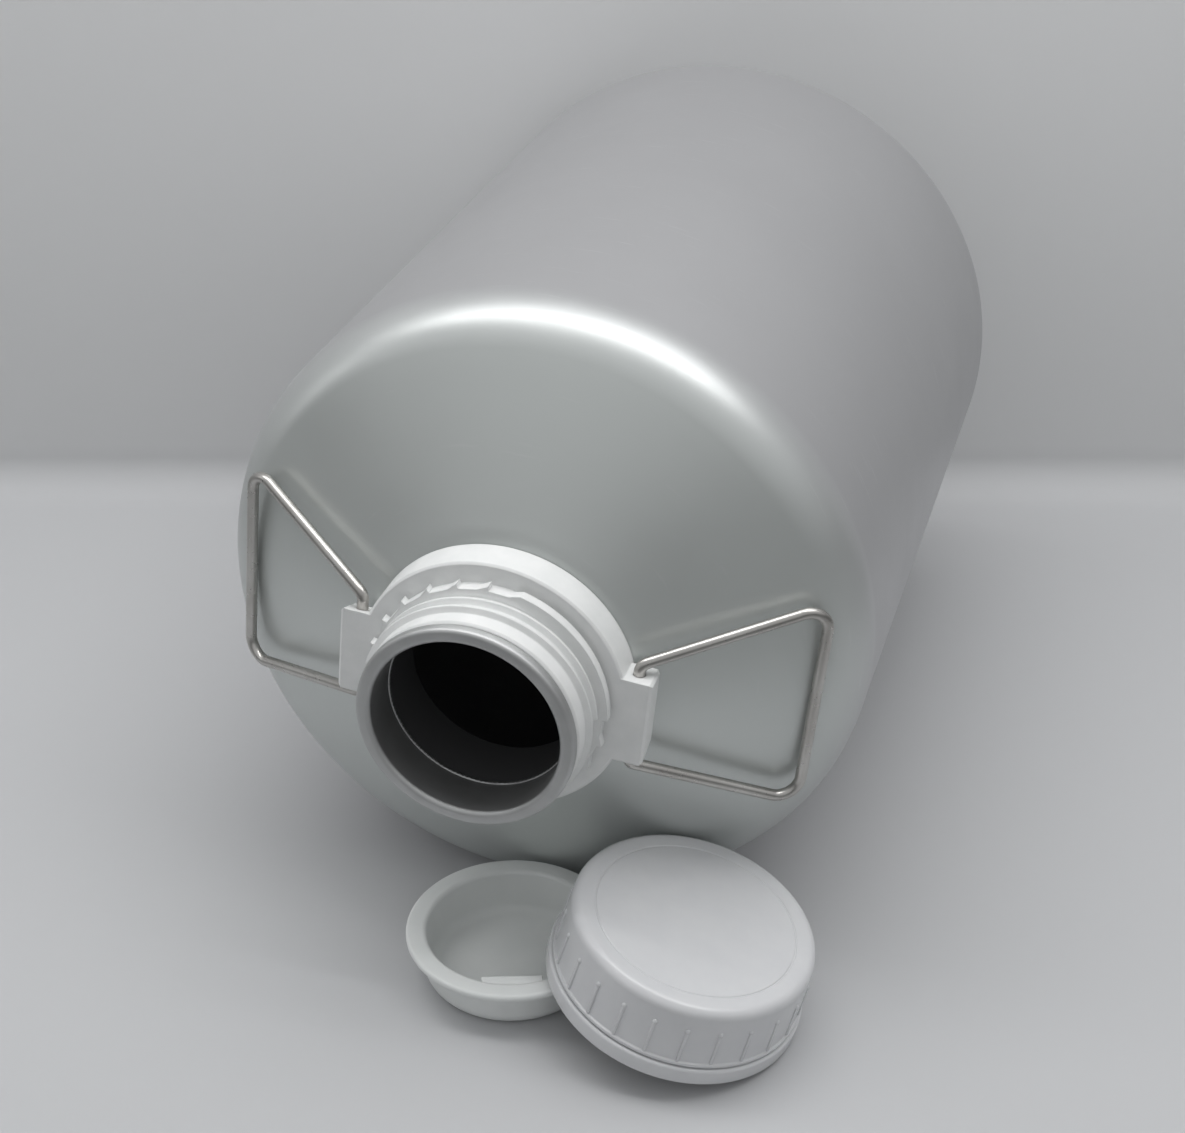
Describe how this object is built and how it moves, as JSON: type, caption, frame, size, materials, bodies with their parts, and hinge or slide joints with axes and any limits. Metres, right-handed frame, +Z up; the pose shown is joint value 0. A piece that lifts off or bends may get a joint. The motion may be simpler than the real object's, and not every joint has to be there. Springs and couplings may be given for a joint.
{
  "type": "aluminium storage bottle",
  "caption": "Wide-mouth aluminium storage bottle lying on its side, with two wire handles on the neck collar and its inner plug and screw cap taken off.",
  "frame": {"origin": "centre of the footprint of the whole arrangement, on the floor it lies on", "axes": "+Z up; the bottle's axis lies along Y with the mouth towards -Y and the base towards +Y; +X is to the right seen from the mouth"},
  "size_m": [0.29, 0.464, 0.29],
  "materials": {
    "blasted_aluminium": "bead-blasted and clear anodised, matt",
    "turned_aluminium": "satin, turned",
    "weld_aluminium": "bright weld bead",
    "collar_white": "satin moulded polypropylene",
    "steel_wire": "drawn stainless wire",
    "natural_plastic": "translucent natural polyethylene",
    "cap_white": "satin-gloss moulded polyethylene",
    "foam_white": "foamed polyethylene"
  },
  "bodies": {
    "bottle": {"body_shell": "blasted_aluminium", "neck_tube": "turned_aluminium", "neck_weld": "weld_aluminium", "neck_collar": "collar_white"},
    "left_handle": {"left_handle": "steel_wire"},
    "right_handle": {"right_handle": "steel_wire"},
    "inner_plug": {"inner_plug": "natural_plastic"},
    "cap_seal": {"cap_liner": "foam_white"},
    "cap": {"screw_cap": "cap_white", "tamper_band": "cap_white", "tamper_bridges": "cap_white"}
  },
  "joints": [
    {"name": "left_handle_hinge", "type": "hinge", "parent": "bottle", "child": "left_handle", "pos_m": [-0.05955, -0.16137, 0.15094], "axis": [0.0993, 0, 0.9951], "range_deg": [0, 149.3]},
    {"name": "right_handle_hinge", "type": "hinge", "parent": "bottle", "child": "right_handle", "pos_m": [0.05955, -0.16137, 0.13906], "axis": [-0.0993, 0, -0.9951], "range_deg": [0, 149.3]},
    {"name": "plug_pick_up", "type": "slide", "parent": "bottle", "child": "inner_plug", "axis": [-1, 0, 0], "range_m": [0, 0.08]},
    {"name": "cap_pick_up", "type": "slide", "parent": "bottle", "child": "cap_seal", "axis": [1, 0, 0], "range_m": [0, 0.08]},
    {"name": "cap_turn", "type": "hinge", "parent": "cap_seal", "child": "cap", "pos_m": [0.082, -0.17602, 0.01455], "axis": [0.2546, 0, 0.967], "range_deg": [0, 345]}
  ]
}
